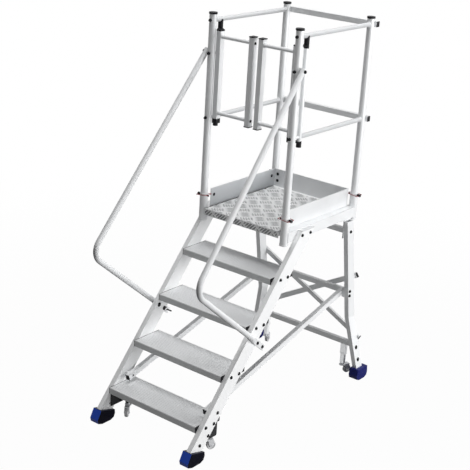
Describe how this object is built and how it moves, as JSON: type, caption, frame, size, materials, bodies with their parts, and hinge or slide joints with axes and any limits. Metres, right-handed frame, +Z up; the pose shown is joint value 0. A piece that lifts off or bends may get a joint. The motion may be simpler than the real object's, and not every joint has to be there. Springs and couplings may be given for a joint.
{
  "type": "podium step",
  "caption": "Aluminium platform step with flat treads, bent handrails, railed chequer deck, saloon gate, flared rear legs, moulded feet and sprung swivel castors.",
  "frame": {"origin": "middle of the footprint on the floor", "axes": "+Z up, -Y the side the climber comes from, +X to the climber's right"},
  "size_m": [0.84, 1.5696, 2.157],
  "materials": {
    "aluminium": "satin mill finish",
    "black_plastic": "moulded",
    "black_bolts": "blackened",
    "blue_shoe": "moulded",
    "red_wire": "dipped",
    "zinc": "zinc plated",
    "wheel": "nylon"
  },
  "bodies": {
    "frame": {"stile_left": "aluminium", "stile_right": "aluminium", "tread_1": "aluminium", "tread_2": "aluminium", "tread_3": "aluminium", "tread_4": "aluminium", "tread_end_caps": "black_plastic", "deck": "aluminium", "deck_bearers": "aluminium", "side_beam_left": "aluminium", "side_beam_right": "aluminium", "toe_board_left": "aluminium", "toe_board_right": "aluminium", "toe_board_back": "aluminium", "post_sockets": "aluminium", "rear_leg_left": "aluminium", "rear_leg_right": "aluminium", "leg_brackets": "aluminium", "rear_bars": "aluminium", "rear_diagonals": "aluminium", "side_braces": "aluminium", "front_feet": "blue_shoe", "rear_feet": "blue_shoe", "post_front_left": "aluminium", "post_front_right": "aluminium", "post_back_left": "aluminium", "post_back_right": "aluminium", "top_rail_left": "aluminium", "top_rail_right": "aluminium", "mid_rail_left": "aluminium", "mid_rail_right": "aluminium", "back_rails": "aluminium", "tube_plugs": "black_plastic", "post_caps": "black_plastic", "hinge_tubes": "aluminium", "handrail_left": "aluminium", "handrail_right": "aluminium", "locking_pins": "black_bolts", "bolts": "black_bolts", "castor_housings": "black_bolts"},
    "leaf_left": {"gate_left": "aluminium", "gate_left_fittings": "black_plastic"},
    "leaf_right": {"gate_right": "aluminium", "gate_right_fittings": "black_plastic"},
    "bow_front_left": {"clip_front_left": "red_wire"},
    "bow_front_right": {"clip_front_right": "red_wire"},
    "bow_back_left": {"clip_back_left": "red_wire"},
    "bow_back_right": {"clip_back_right": "red_wire"},
    "castor_stem_front_left": {"stem_front_left": "zinc"},
    "castor_fork_front_left": {"fork_front_left": "zinc"},
    "castor_wheel_front_left": {"wheel_front_left": "wheel"},
    "castor_stem_front_right": {"stem_front_right": "zinc"},
    "castor_fork_front_right": {"fork_front_right": "zinc"},
    "castor_wheel_front_right": {"wheel_front_right": "wheel"},
    "castor_stem_rear_left": {"stem_rear_left": "zinc"},
    "castor_fork_rear_left": {"fork_rear_left": "zinc"},
    "castor_wheel_rear_left": {"wheel_rear_left": "wheel"},
    "castor_stem_rear_right": {"stem_rear_right": "zinc"},
    "castor_fork_rear_right": {"fork_rear_right": "zinc"},
    "castor_wheel_rear_right": {"wheel_rear_right": "wheel"}
  },
  "joints": [
    {"name": "gate_left_swing", "type": "hinge", "parent": "frame", "child": "leaf_left", "pos_m": [-0.282, 0.06974, 1.8215], "axis": [0, 0, 1], "range_deg": [0, 85], "stiffness_Nm_per_rad": 1.2},
    {"name": "gate_right_swing", "type": "hinge", "parent": "frame", "child": "leaf_right", "pos_m": [0.282, 0.06974, 1.8215], "axis": [0, 0, -1], "range_deg": [0, 85], "stiffness_Nm_per_rad": 1.2},
    {"name": "bow_front_left_lift", "type": "hinge", "parent": "frame", "child": "bow_front_left", "pos_m": [-0.316, 0.00424, 1.146], "axis": [0, -1, 0], "range_deg": [0, 24]},
    {"name": "bow_front_right_lift", "type": "hinge", "parent": "frame", "child": "bow_front_right", "pos_m": [0.316, 0.00424, 1.146], "axis": [0, 1, 0], "range_deg": [0, 24]},
    {"name": "bow_back_left_lift", "type": "hinge", "parent": "frame", "child": "bow_back_left", "pos_m": [-0.316, 0.66274, 1.146], "axis": [0, -1, 0], "range_deg": [0, 24]},
    {"name": "bow_back_right_lift", "type": "hinge", "parent": "frame", "child": "bow_back_right", "pos_m": [0.316, 0.66274, 1.146], "axis": [0, 1, 0], "range_deg": [0, 24]},
    {"name": "castor_front_left_spring", "type": "slide", "parent": "frame", "child": "castor_stem_front_left", "axis": [0, 0, 1], "range_m": [-0.004, 0.006], "stiffness_N_per_m": 8000},
    {"name": "castor_front_left_swivel", "type": "hinge", "parent": "castor_stem_front_left", "child": "castor_fork_front_left", "pos_m": [-0.275, -0.56676, 0.06], "axis": [0, 0, 1], "continuous": true},
    {"name": "castor_front_left_roll", "type": "hinge", "parent": "castor_fork_front_left", "child": "castor_wheel_front_left", "pos_m": [-0.25539, -0.59696, 0.026], "axis": [0.8387, 0.5446, 0], "continuous": true},
    {"name": "castor_front_right_spring", "type": "slide", "parent": "frame", "child": "castor_stem_front_right", "axis": [0, 0, 1], "range_m": [-0.004, 0.006], "stiffness_N_per_m": 8000},
    {"name": "castor_front_right_swivel", "type": "hinge", "parent": "castor_stem_front_right", "child": "castor_fork_front_right", "pos_m": [0.275, -0.56676, 0.06], "axis": [0, 0, 1], "continuous": true},
    {"name": "castor_front_right_roll", "type": "hinge", "parent": "castor_fork_front_right", "child": "castor_wheel_front_right", "pos_m": [0.29408, -0.53623, 0.026], "axis": [-0.848, 0.5299, 0], "continuous": true},
    {"name": "castor_rear_left_spring", "type": "slide", "parent": "frame", "child": "castor_stem_rear_left", "axis": [0, 0, 1], "range_m": [-0.004, 0.006], "stiffness_N_per_m": 8000},
    {"name": "castor_rear_left_swivel", "type": "hinge", "parent": "castor_stem_rear_left", "child": "castor_fork_rear_left", "pos_m": [-0.29, 0.70445, 0.06], "axis": [0, 0, 1], "continuous": true},
    {"name": "castor_rear_left_roll", "type": "hinge", "parent": "castor_fork_rear_left", "child": "castor_wheel_rear_left", "pos_m": [-0.30231, 0.73828, 0.026], "axis": [-0.9397, -0.342, 0], "continuous": true},
    {"name": "castor_rear_right_spring", "type": "slide", "parent": "frame", "child": "castor_stem_rear_right", "axis": [0, 0, 1], "range_m": [-0.004, 0.006], "stiffness_N_per_m": 8000},
    {"name": "castor_rear_right_swivel", "type": "hinge", "parent": "castor_stem_rear_right", "child": "castor_fork_rear_right", "pos_m": [0.29, 0.70445, 0.06], "axis": [0, 0, 1], "continuous": true},
    {"name": "castor_rear_right_roll", "type": "hinge", "parent": "castor_fork_rear_right", "child": "castor_wheel_rear_right", "pos_m": [0.30231, 0.73828, 0.026], "axis": [-0.9397, 0.342, 0], "continuous": true}
  ]
}
